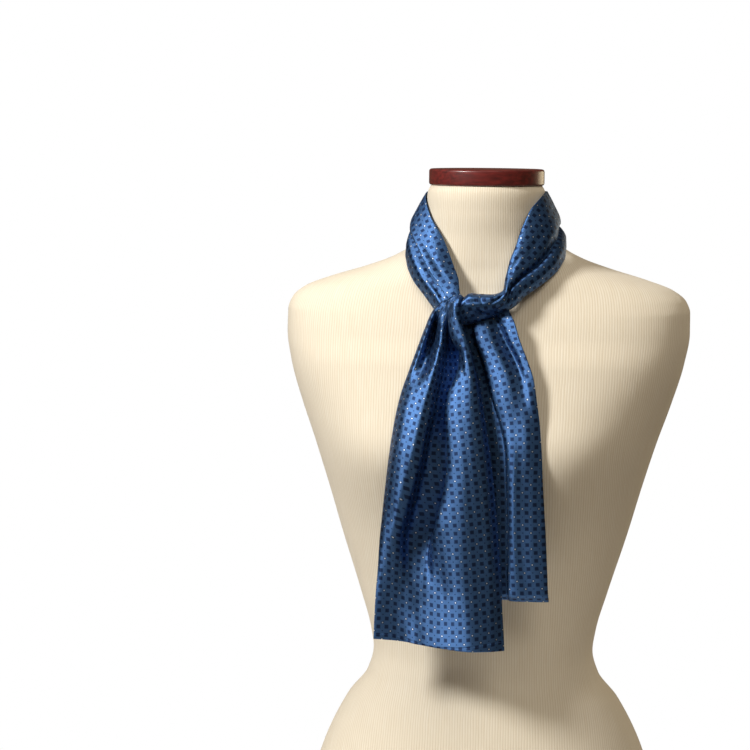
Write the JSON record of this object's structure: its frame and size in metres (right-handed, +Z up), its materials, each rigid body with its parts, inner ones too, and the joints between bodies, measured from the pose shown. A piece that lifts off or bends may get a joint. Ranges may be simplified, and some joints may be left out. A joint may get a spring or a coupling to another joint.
{
  "type": "cravat on dress form",
  "caption": "Long printed satin neck scarf wound round a limbless dress form's neck and tied in a half knot with two hanging tails.",
  "frame": {"origin": "the middle of the flat base of the dress form, where it stands on a surface", "axes": "+Z up along the form's height, -Y out of the chest where the knot and the tails are, +X to the viewer's right as seen from the front"},
  "size_m": [0.402, 0.2871, 0.722],
  "materials": {
    "form_cover": "cream ribbed jersey, matte",
    "cap_wood": "mahogany red lacquer, glossy",
    "satin_print": "blue satin with a small repeat of dark squares and pale dots, soft sheen"
  },
  "bodies": {
    "root": {"form_body": "form_cover", "neck_cap": "cap_wood", "left_limb": "satin_print", "neck_back": "satin_print", "right_limb": "satin_print", "knot_band": "satin_print", "front_tail": "satin_print", "back_tail": "satin_print"}
  },
  "joints": []
}
